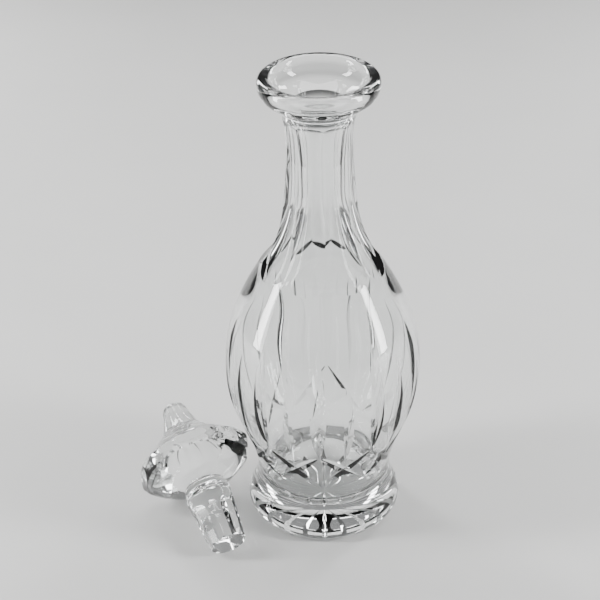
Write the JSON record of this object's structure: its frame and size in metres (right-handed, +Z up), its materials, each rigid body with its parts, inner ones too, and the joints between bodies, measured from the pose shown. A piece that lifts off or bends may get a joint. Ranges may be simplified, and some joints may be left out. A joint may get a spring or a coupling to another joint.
{
  "type": "wine decanter",
  "caption": "Cut crystal wine decanter: a hollow pear-shaped bottle with a panelled neck, flared lip and star-cut foot, and a loose mushroom-headed glass stopper lying beside it.",
  "frame": {"origin": "centre of the underside of the bottle's foot, on the surface that the decanter stands on", "axes": "+Z up along the bottle's axis, +X to the right and +Y away from somebody who looks at the side where the stopper lies to the left"},
  "size_m": [0.1651, 0.1171, 0.279],
  "materials": {
    "crystal": "cut and polished lead crystal, clear",
    "stopper_crystal": "cut and polished lead crystal, clear"
  },
  "bodies": {
    "bottle": {"bottle": "crystal"},
    "stopper": {"stopper": "stopper_crystal"}
  },
  "joints": [
    {"name": "stopper_lift", "type": "slide", "parent": "bottle", "child": "stopper", "axis": [-0.3714, 0, 0.9285], "range_m": [0, 0.3]}
  ]
}
